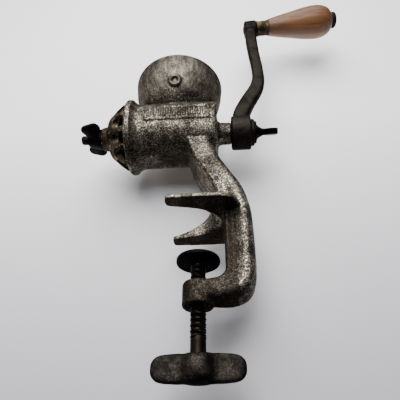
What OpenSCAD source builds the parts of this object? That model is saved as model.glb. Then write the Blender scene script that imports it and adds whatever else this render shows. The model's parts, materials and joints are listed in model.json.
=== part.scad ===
// Hand crank meat grinder that clamps to a table edge.
// +Z is up through the hopper's mouth, +X runs from the cutter to the crank.
// The origin is where the clamp screw's axis meets the underside of the forked upper jaw.

/* [Barrel] */
// Height of the barrel's axis above the table top
axis_height = 88; // [70:1:110]
// Outer radius of the barrel
barrel_r = 26.5; // [22:0.5:32]
// Thickness of the barrel's wall
barrel_wall = 4; // [3:0.5:5]
// Length of the barrel, from its mouth to its back face
barrel_len = 72.3; // [62:0.1:84]
// How far the mouth stands in front of the clamp screw's axis
mouth_reach = 56.3; // [48:0.1:64]
// How far the mouth's flange stands out past the barrel
flange_rise = 4.7; // [3:0.1:7]
// Thickness of the barrel's back wall
back_wall = 7; // [5:0.5:9]
// Length of the bearing collar behind the barrel
collar_len = 11; // [8:0.5:14]
// Radial thickness of the bearing collar around the journal
collar_wall = 3.4; // [2.5:0.1:5]

/* [Hopper] */
// Radius of the hopper's rim
hopper_r = 37.9; // [33:0.1:44]
// Height of the hopper's rim above the barrel's axis
hopper_height = 59.5; // [52:0.5:70]
// Distance of the hopper's axis in front of the clamp screw's axis
hopper_reach = 17; // [14:0.2:22]
// Thickness of the hopper's wall
hopper_wall = 3; // [2.4:0.1:4]
// Radius of the throat between hopper and barrel
throat_r = 17; // [14:0.5:19]

/* [Clamp] */
// Distance from the clamp screw's axis to the inner face of the leg
clamp_reach = 17.5; // [15:0.5:21]
// Opening between the upper jaw and the screw's boss
clamp_open = 46.3; // [40:0.1:56]
// Depth of the leg, from its inner face to its outer face
leg_depth = 19.6; // [16:0.1:22]
// Half of the leg's width at the upper jaw
leg_half_w = 18; // [15:0.5:20]
// Half of the width of the forked upper jaw
fork_half_w = 29.8; // [25:0.1:34]
// Distance from the clamp screw's axis to the tips of the fork
fork_reach = 20.2; // [17:0.2:24]
// Thickness of the fork's outer edge
fork_edge = 3; // [2.4:0.1:4]
// Radius of the boss that holds the clamp screw
boss_r = 9.9; // [8.4:0.1:12]
// Height of that boss
boss_h = 15.6; // [13:0.1:18.8]

/* [Clamp screw] */
// Outer diameter of the clamp screw's thread
screw_d = 9.9; // [8.2:0.1:11.9]
// Depth from the table top to the top of the clamp pad
pad_drop = 28.7; // [24:0.1:34]
// Radius of the clamp pad
pad_r = 14.2; // [12:0.1:17]
// Thickness of the clamp pad
pad_t = 4; // [3.3:0.1:4.8]
// Length of the clamp screw from the pad to the wing
screw_len = 55.5; // [50:0.5:66]
// Length of the wing that turns the clamp screw
wing_len = 53.2; // [42:0.2:62]
// Height of that wing
wing_h = 16; // [13:0.5:19]
// Thickness of the wing's blade
wing_t = 5; // [4:0.5:7]
// Diameter of the wing's round middle
wing_hub_d = 14.6; // [13:0.2:18]

/* [Feed screw and cutter] */
// Radius of the feed screw's journal in the collar
journal_r = 5.6; // [4.6:0.1:6.6]
// Distance that one turn of the feed screw's flight covers
flight_pitch = 26; // [20:1:34]
// Radius of the stud that the cutter and the wing nut sit on
stud_r = 4; // [3.3:0.1:4.8]
// How far the cutter's rim stands out past the barrel's wall
cutter_lap = 1.1; // [0.4:0.1:2.4]
// Length of the cutter's dome, from the barrel's mouth to the hub
cutter_depth = 17; // [14.5:0.5:20]
// Number of openings around the cutter
cutter_slots = 12; // [9:1:14]
// Length of the wing nut
nut_len = 12.5; // [10.5:0.5:15]
// Distance from the barrel's axis to the tips of the wing nut
nut_span = 17.6; // [14.6:0.1:21.2]

/* [Crank] */
// Distance from the barrel's axis to the grip's axis at the crank's eye
crank_len = 158; // [130:1:190]
// Radius of the crank's hub
hub_r = 14; // [12:0.5:16]
// Length of the crank's hub along the barrel's axis
hub_len = 16; // [13:0.5:19]
// Sideways offset of the eye from the middle of the hub
crank_offset = 20; // [14:0.5:26]
// Width of the crank's arm
arm_w = 11.2; // [9:0.2:13.4]
// Thickness of the crank's arm
arm_t = 9; // [7:0.2:11]
// Side of the square that drives the crank
square_side = 8; // [6:0.2:9]
// Radius of the washer under the thumb screw
washer_r = 11; // [9:0.5:13]
// Thickness of that washer
washer_t = 2.6; // [1.6:0.2:3.4]

/* [Grip] */
// Length of the wooden grip
grip_len = 66.4; // [55:0.2:80]
// Largest radius of the wooden grip
grip_r = 16.8; // [14:0.1:20.2]
// Radius of the ferrule
ferrule_r = 7.9; // [6.6:0.1:9.5]
// Length of the ferrule
ferrule_len = 12.6; // [9:0.2:16]
// Radius of the cap at the grip's outer end
cap_r = 8.2; // [6.5:0.1:10]
// Angle by which the grip leans out from the barrel's axis
grip_lean = 6; // [0:0.5:8]
// Radius of the spindle that the grip turns on
spindle_r = 3.2; // [2.6:0.1:4]

/* [Fits] */
// Radial clearance where one piece turns or slides in another
running_clearance = 0.06; // [0.02:0.01:0.1]
// Gap between faces of pieces that move past each other
face_gap = 0.3; // [0.3:0.05:0.5]
// Radial play where one piece is screwed or riveted into another
seat_play = 0.02; // [0.01:0.01:0.05]

/* [Hidden] */
$fn = 64;
// the barrel's stations along X
mouth_x = -mouth_reach;
back_x = mouth_x + barrel_len;
bore_end_x = back_x - back_wall;
collar_x = back_x + collar_len;
bore_r = barrel_r - barrel_wall;
flange_r = barrel_r + flange_rise;
flange_len = 12;
journal_hole_r = journal_r + running_clearance;
collar_r = journal_hole_r + collar_wall;
// the hopper's heights
hopper_x = -hopper_reach;
rim_z = axis_height + hopper_height;
bowl_depth = hopper_height - barrel_r * 0.45;
bowl_power = 2.5;
bowl_steps = 14;
rim_bead_r = 1.7;
// the clamp
leg_x = clamp_reach + leg_depth;
boss_top_z = -clamp_open;
boss_bottom_z = boss_top_z - boss_h;
screw_r = screw_d / 2;
screw_hole_r = screw_r + running_clearance;
pad_top_z = -pad_drop;
pad_bottom_z = pad_top_z - pad_t;
screw_top_z = pad_bottom_z - face_gap;
wing_top_z = screw_top_z - screw_len;
shank_r = screw_r - 0.2;
shank_len = 8;
rivet_r = 2.4;
rivet_head_r = 4.8;
rivet_head_t = 1.2;
rivet_seat_t = 1.5;
// the drive line along X
thrust_t = 1.5;
thrust_r = bore_r - 2;
feed_front_x = mouth_x + 2;
feed_back_x = bore_end_x - thrust_t - face_gap;
core_front_r = 8;
core_back_r = 11;
flight_r = bore_r - 0.5;
flight_root_w = 6;
flight_tip_w = 3;
hub_x = collar_x + face_gap;
hub_end_x = hub_x + hub_len;
washer_end_x = hub_end_x + washer_t;
bolt_r = 2.9;
bolt_len = 14;
cutter_r = barrel_r + cutter_lap;
cutter_x = mouth_x - face_gap;
dome_x = cutter_x - cutter_depth;
cutter_hub_len = 5.5;
nut_x = dome_x - cutter_hub_len;
nut_end_x = nut_x - nut_len;
nut_base_r = 8.8;
nut_tip_r = 6.2;
stud_out = 5.6;
// the crank and the grip
hub_mid_x = hub_x + hub_len / 2;
eye_x = hub_mid_x + crank_offset;
eye_z = axis_height + crank_len;
eye_r = 9;
eye_half_len = 6;
ferrule_start = eye_half_len + face_gap;
wood_start = ferrule_start + ferrule_len - 3;
wood_end = ferrule_start + ferrule_len + grip_len;
wood_neck_r = ferrule_r - 1;
cap_t = 6.4;
cap_recess = 1.2;
spindle_head_r = cap_r - 3.4;
spindle_head_t = 1.8;
spindle_hole_r = spindle_r + running_clearance;

// ---------- shared shapes ----------

// A smooth curve through the rows of p, between row i and the next one.
function curve(p, i, t) =
    let (a = p[max(i - 1, 0)], b = p[i], c = p[i + 1], d = p[min(i + 2, len(p) - 1)])
    0.5 * (2 * b + (c - a) * t + (2 * a - 5 * b + 4 * c - d) * t * t + (3 * b - 3 * c + d - a) * t * t * t);
// All the rows of p with n - 1 more between each two.
function smooth(p, n) =
    [for (i = [0:len(p) - 2], k = [0:n - 1]) curve(p, i, k / n), p[len(p) - 1]];
// Points of an arc about c, from angle a to angle b.
function arc(c, r, a, b, n) =
    [for (k = [0:n]) c + r * [cos(a + (b - a) * k / n), sin(a + (b - a) * k / n)]];

// A closed solid through rings that have the same number of points.
module loft(rings) {
    n = len(rings[0]);
    last = (len(rings) - 1) * n;
    sides = [
        for (i = [0:len(rings) - 2], j = [0:n - 1], half = [0, 1])
            let (a = i * n + j, b = i * n + (j + 1) % n, c = a + n, d = b + n)
            half == 0 ? [a, c, b] : [b, c, d]
    ];
    ends = [[for (j = [0:n - 1]) j], [for (j = [n - 1:-1:0]) last + j]];
    polyhedron([for (ring = rings) each ring], concat(sides, ends));
}

// Turns a shape that runs up Z into one that runs along the barrel's axis from x.
module along_barrel(x = 0) {
    translate([x, 0, axis_height]) rotate([0, 90, 0]) children();
}

// Turns a shape that runs up Z into one that runs along the grip's axis from the eye.
module along_grip() {
    translate([eye_x, 0, eye_z]) rotate([0, 90 - grip_lean, 0]) children();
}

// A disc with rounded edges, from z = 0 to h.
module soft_disc(r, h, edge) {
    rotate_extrude()
        polygon(concat([[0, 0]], arc([r - edge, edge], edge, -90, 0, 6),
                       arc([r - edge, h - edge], edge, 0, 90, 6), [[0, h]]));
}

// ---------- body casting ----------

// Outer radius of the hopper's bowl at height z.
function bowl_r(z) = hopper_r * sqrt(1 - pow(max(rim_z - z, 0) / bowl_depth, bowl_power));

module barrel_outside() {
    lip = 2.2;
    foot = 4;
    flare = [
        for (k = [0:8])
            let (t = k / 8)
            [flange_r - flange_rise * (1 - pow(1 - t, 2.2)), lip * 2 + (flange_len - lip * 2) * t]
    ];
    along_barrel(mouth_x) rotate_extrude()
        polygon(concat(
            [[0, 0]],
            arc([flange_r - lip, lip], lip, -90, 60, 8),
            flare,
            arc([barrel_r - 2.5, barrel_len - 2.5], 2.5, 0, 90, 6),
            arc([collar_r + foot, barrel_len + foot], foot, 270, 180, 6),
            arc([collar_r - 1, barrel_len + collar_len - 1], 1, 0, 90, 4),
            [[0, barrel_len + collar_len]]));
}

module hopper_outside() {
    low_z = rim_z - bowl_depth;
    side = [
        for (k = [0:bowl_steps])
            let (z = low_z + 1 + (bowl_depth - 3) * k / bowl_steps)
            [bowl_r(z), z]
    ];
    translate([hopper_x, 0, 0]) rotate_extrude()
        polygon(concat(
            [[0, axis_height], [bowl_r(low_z + 1), axis_height]], side,
            arc([hopper_r - rim_bead_r + 0.6, rim_z - rim_bead_r], rim_bead_r, -30, 90, 8),
            [[0, rim_z]]));
}

module hopper_inside() {
    low_z = rim_z - bowl_depth;
    side = [
        for (k = [0:bowl_steps])
            let (z = low_z + hopper_wall + 1 + (bowl_depth - hopper_wall - 1) * k / bowl_steps)
            [max(bowl_r(z - hopper_wall / 2) - hopper_wall, throat_r), z]
    ];
    translate([hopper_x, 0, 0]) rotate_extrude()
        polygon(concat([[0, axis_height], [throat_r, axis_height]], side,
                       [[hopper_r - hopper_wall, rim_z + 1], [0, rim_z + 1]]));
}

// The section of neck, leg and arm, from the inner face to the outer one:
// [share of the depth, and share of the half width at the neck, in the leg and at the boss].
bracket_section = [
    [0, 0.5, 0.36, 0.4], [0, 0.84, 0.64, 0.74], [0.03, 0.94, 0.73, 0.85], [0.09, 1, 0.77, 0.92],
    [0.16, 0.99, 0.75, 0.96], [0.25, 0.965, 0.72, 0.98], [0.34, 0.965, 0.74, 1], [0.44, 0.99, 0.84, 1],
    [0.55, 1, 0.95, 1], [0.67, 0.98, 1, 0.98], [0.79, 0.92, 0.97, 0.93], [0.89, 0.8, 0.85, 0.84],
    [0.96, 0.6, 0.62, 0.66], [1, 0.3, 0.3, 0.4]
];
// Stations from barrel to boss: [inner x, inner z, outer x, outer z, half width, section],
// where the section goes from 0 at the neck to 1 in the leg and 2 at the boss.
bracket_stations = [
    [-9, axis_height, 12, axis_height, leg_half_w * 0.97, 0],
    [-8, axis_height * 0.77, 12.5, axis_height * 0.78, leg_half_w * 0.98, 0],
    [-3.8, axis_height * 0.59, 18, axis_height * 0.57, leg_half_w, 0],
    [3.5, axis_height * 0.41, 26, axis_height * 0.39, leg_half_w, 0.05],
    [clamp_reach - 7.5, axis_height * 0.27, leg_x - 4.4, axis_height * 0.24, leg_half_w, 0.2],
    [clamp_reach - 2.4, axis_height * 0.12, leg_x - 1.2, axis_height * 0.09, leg_half_w, 0.6],
    [clamp_reach, 0, leg_x - 0.2, 0, leg_half_w, 0.9],
    [clamp_reach + 0.2, -6, leg_x, -6, leg_half_w - 0.6, 1],
    [clamp_reach + 0.2, -clamp_open * 0.45, leg_x, -clamp_open * 0.45, leg_half_w - 2.2, 1],
    [clamp_reach, 7.4 - clamp_open, leg_x - 0.4, 7 - clamp_open, leg_half_w - 4.2, 1.05],
    [clamp_reach - 1, 3.8 - clamp_open, leg_x - 1.6, -boss_h * 0.12 - clamp_open, leg_half_w - 5.2, 1.2],
    [clamp_reach - 3, 1.8 - clamp_open, leg_x - 5.6, -boss_h * 0.6 - clamp_open, leg_half_w - 6, 1.4],
    [clamp_reach - 6.5, 0.5 - clamp_open, clamp_reach + 4, boss_bottom_z + 2, boss_r + 0.8, 1.7],
    [5, -clamp_open, 9, boss_bottom_z + 2.2, boss_r - 0.1, 2],
    [1.3, -clamp_open - 0.5, 1.5, boss_bottom_z + 2.2, boss_r - 0.9, 2]
];

function bracket_share(q, t) = t < 1 ? q[1] + (q[2] - q[1]) * t : q[2] + (q[3] - q[2]) * (t - 1);
function bracket_ring(s) =
    let (half = [
        for (q = bracket_section)
            [s[0] + (s[2] - s[0]) * q[0], s[4] * bracket_share(q, s[5]), s[1] + (s[3] - s[1]) * q[0]]
    ])
    concat(half, [for (i = [len(half) - 1:-1:0]) [half[i][0], -half[i][1], half[i][2]]]);

module bracket() {
    loft([for (s = smooth(bracket_stations, 3)) bracket_ring(s)]);
}

// Half of the fork's outline seen from below, from the leg round the tip to the gap's root.
fork_outline = smooth([
    [leg_x - 8, leg_half_w - 4], [leg_x - 9, leg_half_w + 1.6], [leg_x - 11, fork_half_w - 5.4],
    [leg_x - 14.6, fork_half_w - 2.2], [leg_x - 20, fork_half_w - 0.5], [clamp_reach - 9.5, fork_half_w],
    [0, fork_half_w], [3 - fork_reach, fork_half_w - 0.4],
    [0.7 - fork_reach, fork_half_w - 1.9], [-fork_reach, fork_half_w - 5],
    [0.6 - fork_reach, fork_half_w - 8.6], [4 - fork_reach, fork_half_w - 10.2],
    [-6, fork_half_w - 12.2], [2, fork_half_w - 14.2], [6.6, fork_half_w - 17], [9.2, 8], [10.2, 0]
], 3);

module fork_plate() {
    mirrored = [for (i = [len(fork_outline) - 2:-1:0]) [fork_outline[i][0], -fork_outline[i][1]]];
    linear_extrude(fork_edge) polygon(concat(fork_outline, mirrored));
}

// Stations of a prong's raised inner side: [x, inner y, height, outer y].
prong_stations = [
    [1.6 - fork_reach, fork_half_w - 8.8, fork_edge + 0.2, fork_half_w - 3.6],
    [-10, fork_half_w - 11, fork_edge + 2.4, fork_half_w - 2],
    [-3, fork_half_w - 12.8, fork_edge + 5, fork_half_w - 1.8],
    [3, fork_half_w - 14.6, fork_edge + 8.4, fork_half_w - 1.8],
    [7, fork_half_w - 17.4, fork_edge + 12, fork_half_w - 2.2],
    [11, 6, fork_edge + 16, fork_half_w - 4],
    [clamp_reach - 1.5, 4, fork_edge + 20, leg_half_w + 5],
    [clamp_reach + 4.5, 4, fork_edge + 22, leg_half_w - 1]
];

module prong(side) {
    rings = [
        for (s = smooth(prong_stations, 3))
            let (mid = (s[1] + s[3]) / 2, rise = s[2] - fork_edge)
            [
                [s[0], s[3], fork_edge / 2], [s[0], s[3], fork_edge - 0.3],
                [s[0], s[3] - 1.4, fork_edge + rise * 0.06], [s[0], mid, fork_edge + rise * 0.42],
                [s[0], s[1] + 2.4, s[2] - rise * 0.05], [s[0], s[1] + 0.8, s[2]],
                [s[0], s[1], s[2] - 0.8], [s[0], s[1], fork_edge / 2]
            ]
    ];
    mirror([0, side < 0 ? 1 : 0, 0]) loft(rings);
}

// The hollow under the root of the fork.
module fork_hollow() {
    translate([clamp_reach - 13.1, 0, 0]) rotate_extrude($fn = 48)
        polygon(concat([[0, -1], [12.2, -1]], arc([0, -11], 16.4, 42.1, 90, 8)));
}

module screw_boss() {
    translate([0, 0, boss_bottom_z]) soft_disc(boss_r, boss_h, 1.6);
}

// A plain raised panel on the barrel's side, with a border and a row of upright bars.
module side_panel() {
    panel_len = 50;
    panel_x = hopper_x - panel_len / 2 + 2;
    half_angle = 17;
    rise = 0.9;
    border = 1.5;
    bars = 12;
    // a patch of the barrel's wall, centred on the side, rising by h
    module patch(x, w, angle, foot, h) {
        along_barrel(x) rotate([0, 0, 270 - angle]) rotate_extrude(angle = 2 * angle)
            translate([barrel_r - foot, 0]) square([foot + h, w]);
    }
    difference() {
        patch(panel_x, panel_len, half_angle, 1, rise);
        patch(panel_x + border, panel_len - 2 * border, half_angle - 3.2, 2, rise + 1);
    }
    for (k = [1:bars])
        patch(panel_x + k * panel_len / (bars + 1) - 0.8, 1.6, half_angle * 0.6, 1.2, rise);
}

// A plain raised ring on the hopper's front.
module hopper_ring() {
    ring_z = rim_z - 28.2;
    ring_r = 3.8;
    bead_r = 1.6;
    slope = (bowl_r(ring_z + 1) - bowl_r(ring_z - 1)) / 2;
    translate([hopper_x, -bowl_r(ring_z), ring_z]) rotate([90 + atan(slope), 0, 0])
        rotate_extrude() translate([ring_r, 0]) circle(r = bead_r, $fn = 16);
}

module body_casting() {
    color([0.42, 0.40, 0.37]) difference() {
        union() {
            barrel_outside();
            hopper_outside();
            side_panel();
            hopper_ring();
            bracket();
            fork_plate();
            for (side = [-1, 1]) prong(side);
            screw_boss();
        }
        hopper_inside();
        fork_hollow();
        along_barrel(mouth_x - 1) cylinder(r = bore_r, h = bore_end_x - mouth_x + 1);
        along_barrel(bore_end_x - 1) cylinder(r = journal_hole_r, h = back_wall + collar_len + 2);
        translate([0, 0, boss_bottom_z - 1]) cylinder(r = screw_hole_r, h = boss_h + 2);
    }
}

// ---------- drive line ----------

module feed_screw() {
    length = feed_back_x - feed_front_x;
    turns = (length - flight_root_w) / flight_pitch;
    steps = ceil(turns * 20);
    // the flight's section: [radius, distance along the barrel]
    section = [
        [core_front_r / 2, -flight_root_w / 2], [flight_r, -flight_tip_w / 2],
        [flight_r, flight_tip_w / 2], [core_front_r / 2, flight_root_w / 2]
    ];
    color([0.45, 0.43, 0.40]) difference() {
        union() {
            along_barrel(feed_front_x) cylinder(r1 = core_front_r, r2 = core_back_r, h = length);
            along_barrel(feed_front_x + flight_root_w / 2) loft([
                for (i = [0:steps])
                    let (a = -360 * turns * i / steps, x = turns * flight_pitch * i / steps)
                    [for (q = section) [q[0] * cos(a), q[0] * sin(a), x + q[1]]]
            ]);
            along_barrel(feed_back_x - 1) cylinder(r = journal_r, h = hub_x - feed_back_x + 1);
            along_barrel(hub_x - 1) translate([-square_side / 2, -square_side / 2, 0])
                cube([square_side, square_side, hub_len]);
        }
        along_barrel(feed_front_x - 1) cylinder(r = stud_r + seat_play, h = 15);
        along_barrel(hub_end_x - bolt_len) cylinder(r = bolt_r + seat_play, h = bolt_len);
    }
}

module thrust_washer() {
    color([0.55, 0.55, 0.54]) along_barrel(bore_end_x - thrust_t) difference() {
        cylinder(r = thrust_r, h = thrust_t);
        translate([0, 0, -1]) cylinder(r = journal_r + face_gap, h = thrust_t + 2);
    }
}

module cutter_stud() {
    stud_back_x = feed_front_x + 14;
    color([0.25, 0.24, 0.23]) along_barrel(nut_end_x - stud_out)
        soft_disc(stud_r, stud_back_x - nut_end_x + stud_out, 0.7);
}

// The cutter's outer outline: [distance from the barrel's mouth, radius].
cutter_outline = smooth([
    [0, cutter_r - 0.5], [1.5, cutter_r], [3, cutter_r - 0.6], [cutter_depth * 0.3, cutter_r * 0.92],
    [cutter_depth * 0.47, cutter_r * 0.84], [cutter_depth * 0.65, cutter_r * 0.73],
    [cutter_depth * 0.73, cutter_r * 0.69], [cutter_depth * 0.84, cutter_r * 0.63],
    [cutter_depth * 0.93, cutter_r * 0.53], [cutter_depth * 0.98, cutter_r * 0.43],
    [cutter_depth, nut_base_r + 1.8]
], 3);

module cutter() {
    pocket_r = cutter_r * 0.188;
    pocket_len = cutter_depth * 0.55;
    pocket_lean = 31;
    color([0.36, 0.30, 0.23]) translate([cutter_x, 0, axis_height]) rotate([0, -90, 0]) difference() {
        rotate_extrude() polygon(concat(
            [[0, 0]], [for (q = cutter_outline) [q[1], q[0]]],
            [[nut_base_r + 0.6, cutter_depth + cutter_hub_len], [0, cutter_depth + cutter_hub_len]]));
        // the hollow behind the dome
        rotate_extrude() polygon([
            [0, -1], [cutter_r * 0.87, -1], [cutter_r * 0.87, 2], [cutter_r * 0.6, cutter_depth * 0.47],
            [cutter_r * 0.4, cutter_depth * 0.8], [0, cutter_depth * 0.8]
        ]);
        translate([0, 0, -1]) cylinder(r = stud_r + seat_play, h = cutter_depth + cutter_hub_len + 2);
        // a ring of pockets that are open at the rim
        for (k = [0:cutter_slots - 1])
            rotate([0, 0, 360 * (k + 0.5) / cutter_slots]) translate([cutter_r - 0.7, 0, 3.4])
                rotate([0, -pocket_lean, 0]) rotate_extrude($fn = 28)
                    polygon(concat([[0, -8]], [[pocket_r, -8]],
                                   arc([0, pocket_len - pocket_r], pocket_r, 0, 90, 6)));
    }
}

module cutter_wing_nut() {
    wing_r = 5;
    color([0.13, 0.13, 0.13]) translate([nut_x, 0, axis_height]) rotate([0, -90, 0]) difference() {
        union() {
            rotate_extrude() polygon(concat(
                [[0, 0], [nut_base_r, 0], [nut_base_r, 1.5]],
                arc([nut_tip_r - 1.5, nut_len - 1.5], 1.5, 0, 90, 5), [[0, nut_len]]));
            for (turn = [90, 270]) rotate([0, 0, turn]) hull() {
                $fn = 20;
                translate([nut_tip_r - 2.2, 0, nut_len * 0.46]) sphere(r = 4.2);
                translate([nut_span - wing_r, 0.8, nut_len * 0.42]) scale([1, 0.5, 1]) sphere(r = wing_r);
                translate([nut_span - wing_r - 0.6, -0.8, nut_len - wing_r + 3.4]) scale([1, 0.56, 1])
                    sphere(r = wing_r);
            }
        }
        translate([0, 0, -1]) cylinder(r = stud_r + seat_play, h = nut_len + 8);
    }
}

// ---------- crank ----------

// Middle line of the arm: [x, z, half width, half thickness].
arm_stations = [
    for (q = [
        [0.02, 0.03, 0.66, 0.72], [0.07, 0.13, 0.65, 0.62], [0.335, 0.22, 0.63, 0.56],
        [0.585, 0.285, 0.62, 0.52], [0.835, 0.35, 0.59, 0.5], [0.975, 0.41, 0.55, 0.5],
        [1.035, 0.47, 0.5, 0.5], [1.04, 0.57, 0.48, 0.5], [0.985, 0.72, 0.5, 0.5],
        [0.965, 0.86, 0.53, 0.52], [0.985, 0.94, 0.51, 0.58], [1, 0.99, 0.46, 0.6]
    ])
        [hub_mid_x + crank_offset * q[0], axis_height + crank_len * q[1], arm_w * q[2], arm_t * q[3]]
];
arm_rows = smooth(arm_stations, 3);
// Direction of the arm's middle line at row i.
function arm_way(i) =
    let (a = arm_rows[max(i - 1, 0)], b = arm_rows[min(i + 1, len(arm_rows) - 1)])
    let (d = [b[0] - a[0], b[1] - a[1]])
    d / norm(d);
function arm_ring(i) =
    let (s = arm_rows[i], way = arm_way(i), points = 16)
    [
        for (k = [0:points - 1])
            let (a = 360 * k / points, c = cos(a), q = sin(a),
                 u = s[2] * sign(c) * pow(abs(c), 0.6), v = s[3] * sign(q) * pow(abs(q), 0.6))
            [s[0] + u * way[1], v, s[1] - u * way[0]]
    ];

module crank_arm() {
    color([0.24, 0.22, 0.20]) difference() {
        union() {
            along_barrel(hub_x) soft_disc(hub_r, hub_len, 1.6);
            loft([for (i = [0:len(arm_rows) - 1]) arm_ring(i)]);
            along_grip() translate([0, 0, -eye_half_len]) soft_disc(eye_r, 2 * eye_half_len, 1.2);
        }
        along_barrel(hub_x - 1) translate([-square_side / 2, -square_side / 2, 0])
            cube([square_side, square_side, hub_len + 2]);
        along_grip() cylinder(r = spindle_r + seat_play, h = 4 * eye_half_len, center = true);
    }
}

module crank_washer() {
    color([0.2, 0.19, 0.18]) along_barrel(hub_end_x) difference() {
        soft_disc(washer_r, washer_t, 0.6);
        translate([0, 0, -1]) cylinder(r = bolt_r + seat_play, h = washer_t + 2);
    }
}

module crank_thumb_screw() {
    base_r = 9.2;
    neck_r = 3;
    cone_h = 6.4;
    thumb_len = 18;
    thumb_w = 17;
    thumb_t = 5;
    thumb_turn = 43;
    color([0.18, 0.17, 0.16]) along_barrel(washer_end_x) union() {
        rotate_extrude()
            polygon(concat([[0, 0], [base_r, 0], [base_r, 1.2], [base_r - 0.5, 1.9]],
                           arc([base_r + 1.6, cone_h + 2.2], base_r + 1.6 - neck_r, 245, 195, 8),
                           [[0, cone_h + 4]]));
        translate([0, 0, 1 - washer_t - bolt_len]) cylinder(r = bolt_r, h = washer_t + bolt_len);
        // the flat that a thumb turns
        rotate([0, 0, thumb_turn]) translate([-thumb_t / 2, 0, 3.4]) rotate([90, 0, 90])
            linear_extrude(thumb_t) polygon(smooth([
                [-2.6, 0], [-thumb_w * 0.3, 5], [-thumb_w / 2, 9], [-thumb_w * 0.44, thumb_len - 4.6],
                [-thumb_w * 0.25, thumb_len - 2.4], [0, thumb_len - 3], [thumb_w * 0.25, thumb_len - 2.4],
                [thumb_w * 0.44, thumb_len - 4.6], [thumb_w / 2, 9], [thumb_w * 0.3, 5], [2.6, 0]
            ], 4));
    }
}

// ---------- grip ----------

module grip_spindle() {
    head_z = wood_end + cap_t - cap_recess - spindle_head_t;
    color([0.3, 0.28, 0.26]) along_grip() {
        translate([0, 0, -eye_half_len - 1.4]) soft_disc(spindle_r + 1.6, 1.4, 0.6);
        translate([0, 0, -eye_half_len - 0.5]) cylinder(r = spindle_r, h = head_z + eye_half_len + 0.6);
        translate([0, 0, head_z]) soft_disc(spindle_head_r, spindle_head_t, 0.8);
    }
}

module grip_ferrule() {
    color([0.42, 0.34, 0.22]) along_grip() difference() {
        translate([0, 0, ferrule_start]) soft_disc(ferrule_r, ferrule_len, 0.5);
        translate([0, 0, wood_start]) cylinder(r = wood_neck_r + seat_play, h = ferrule_len + 1);
        cylinder(r = spindle_hole_r, h = wood_end);
    }
}

module wooden_grip() {
    shoulder = ferrule_start + ferrule_len;
    // the grip's half outline: [share of the largest radius, share of the length]
    outline = smooth([
        [0.515, 0], [0.59, 0.1], [0.672, 0.2], [0.8, 0.38], [0.92, 0.54], [0.994, 0.7], [0.99, 0.8],
        [0.912, 0.89], [0.76, 0.955], [0.57, 0.992], [0.524, 1]
    ], 4);
    color([0.72, 0.47, 0.24]) along_grip() difference() {
        rotate_extrude() polygon(concat(
            [[0, wood_start], [wood_neck_r, wood_start], [wood_neck_r, shoulder]],
            [for (q = outline) [grip_r * q[0], shoulder + grip_len * q[1]]], [[0, wood_end]]));
        translate([0, 0, wood_start - 1]) cylinder(r = spindle_hole_r, h = wood_end);
        translate([0, 0, wood_end - cap_recess]) cylinder(r = cap_r + seat_play, h = cap_recess + 1);
    }
}

module grip_end_cap() {
    color([0.2, 0.18, 0.17]) along_grip() translate([0, 0, wood_end - cap_recess]) difference() {
        soft_disc(cap_r, cap_t, 1.2);
        translate([0, 0, -1]) cylinder(r = spindle_hole_r, h = cap_t + 2);
        translate([0, 0, cap_t - spindle_head_t - face_gap])
            cylinder(r = spindle_head_r + face_gap, h = spindle_head_t + 1);
    }
}

// ---------- clamp screw ----------

module clamp_screw() {
    color([0.16, 0.15, 0.14]) difference() {
        union() {
            translate([0, 0, wing_top_z + shank_len]) cylinder(r = screw_r, h = screw_len - shank_len);
            translate([0, 0, wing_top_z - wing_h * 0.6])
                cylinder(r = shank_r, h = shank_len + wing_h * 0.6 + 0.5);
        }
        translate([0, 0, screw_top_z - 8]) cylinder(r = rivet_r + seat_play, h = 9);
    }
}

module clamp_wing() {
    mid_z = wing_top_z - wing_h / 2;
    hub_r = wing_hub_d / 2;
    // half of the wing, from its tip to the middle: [x share, half height share, half thickness]
    half = [
        [1, 0.2, wing_t * 0.16], [0.985, 0.4, wing_t * 0.3], [0.95, 0.6, wing_t * 0.4],
        [0.89, 0.78, wing_t * 0.46], [0.81, 0.89, wing_t * 0.49], [0.7, 0.95, wing_t * 0.5],
        [0.55, 0.98, wing_t * 0.5], [0.42, 1, wing_t * 0.54], [0.33, 1, wing_t * 0.68],
        [0.26, 1.01, hub_r * 0.66], [0.2, 1.03, hub_r * 0.84], [0.12, 1.05, hub_r * 0.96], [0, 1.06, hub_r]
    ];
    stations = concat(half, [for (i = [len(half) - 2:-1:0]) [-half[i][0], half[i][1], half[i][2]]]);
    // a soft-cornered section of the wing across its length
    function ring(q) = [
        for (k = [0:23])
            let (a = 15 * k, c = cos(a), d = sin(a), blade = abs(q[0]) > 0.34 ? 0.45 : 0.7)
            [
                q[0] * wing_len / 2, -q[2] * sign(c) * pow(abs(c), blade),
                mid_z + q[1] * wing_h / 2 * sign(d) * pow(abs(d), blade)
            ]
    ];
    color([0.2, 0.19, 0.18]) difference() {
        loft([for (q = stations) ring(q)]);
        translate([0, 0, wing_top_z - wing_h * 0.6]) cylinder(r = shank_r + seat_play, h = wing_h);
    }
}

module clamp_pad() {
    recess_r = rivet_head_r + 0.6;
    color([0.08, 0.08, 0.08]) translate([0, 0, pad_bottom_z]) difference() {
        soft_disc(pad_r, pad_t, 1.2);
        translate([0, 0, rivet_seat_t]) cylinder(r = recess_r, h = pad_t);
        translate([0, 0, -1]) cylinder(r = rivet_r + running_clearance, h = pad_t + 2);
    }
}

module pad_rivet() {
    color([0.25, 0.25, 0.25]) {
        translate([0, 0, screw_top_z - 8])
            cylinder(r = rivet_r, h = 8 + face_gap + rivet_seat_t + face_gap + 0.3);
        translate([0, 0, pad_bottom_z + rivet_seat_t + face_gap]) soft_disc(rivet_head_r, rivet_head_t, 0.4);
    }
}

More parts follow.
